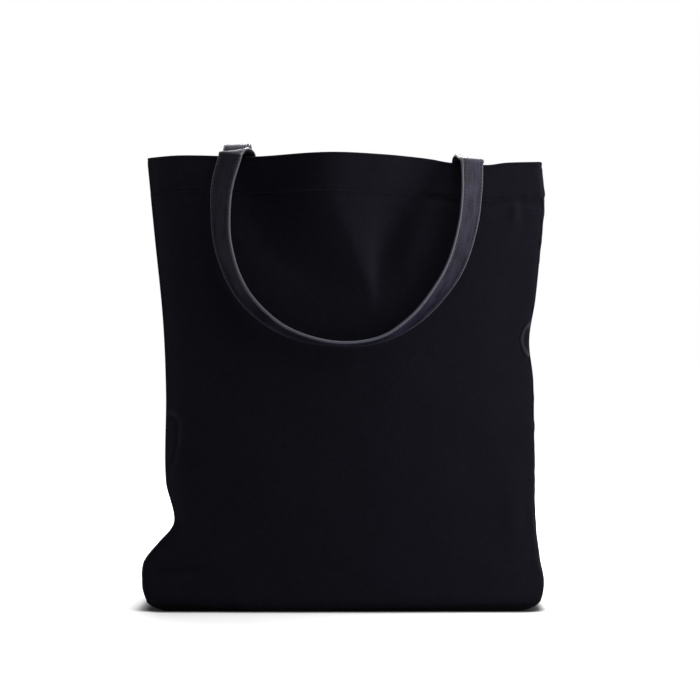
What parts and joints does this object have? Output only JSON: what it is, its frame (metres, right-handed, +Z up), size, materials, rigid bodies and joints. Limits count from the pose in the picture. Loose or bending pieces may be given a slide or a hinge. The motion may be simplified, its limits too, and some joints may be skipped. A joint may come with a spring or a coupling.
{
  "type": "canvas tote bag",
  "caption": "Open-top upright canvas tote bag with side gussets, a rolled base panel, a turned-in hem and flat leather handles hanging over the rim.",
  "frame": {"origin": "centre of the whole bag's box, on the surface it stands on", "axes": "+X to the right seen from the front, -Y to the front, +Z up"},
  "size_m": [0.3902, 0.1695, 0.462],
  "materials": {
    "canvas": "heavy black plain-weave cotton canvas, matte with a faint blue sheen",
    "canvas_inside": "the same canvas turned in at the mouth",
    "binding_tape": "black cotton seam binding tape",
    "leather": "smooth black full-grain leather with a soft satin sheen",
    "leather_lining": "black leather lining ply, slightly duller",
    "edge_paint": "dark grey rounded edge paint, satin",
    "thread": "black bonded thread"
  },
  "bodies": {
    "root": {"front_panel": "canvas", "back_panel": "canvas", "left_gusset": "canvas", "right_gusset": "canvas", "base_panel": "canvas", "front_hem_facing": "canvas_inside", "back_hem_facing": "canvas_inside", "left_hem_facing": "canvas_inside", "right_hem_facing": "canvas_inside", "front_left_seam_binding": "binding_tape", "front_right_seam_binding": "binding_tape", "back_left_seam_binding": "binding_tape", "back_right_seam_binding": "binding_tape", "base_seam_bindings": "binding_tape", "front_handle_left_end": "leather", "front_handle_right_end": "leather", "back_handle_left_end": "leather", "back_handle_right_end": "leather", "front_handle_left_bend": "leather", "front_handle_right_bend": "leather", "back_handle_left_bend": "leather", "back_handle_right_bend": "leather"},
    "front_handle": {"front_handle_face": "leather", "front_handle_lining": "leather_lining"},
    "back_handle": {"back_handle_face": "leather", "back_handle_lining": "leather_lining"}
  },
  "joints": [
    {"name": "front_handle_swing", "type": "hinge", "parent": "root", "child": "front_handle", "pos_m": [0.00838, -0.04682, 0.43457], "axis": [-0.9995, -0.0035, 0.0316], "range_deg": [0, 180], "deforming": ["front_handle_left_bend", "front_handle_right_bend"]},
    {"name": "back_handle_swing", "type": "hinge", "parent": "root", "child": "back_handle", "pos_m": [0.00025, 0.04128, 0.44204], "axis": [0.995, 0.0677, -0.0736], "range_deg": [0, 180], "deforming": ["back_handle_left_bend", "back_handle_right_bend"]}
  ]
}
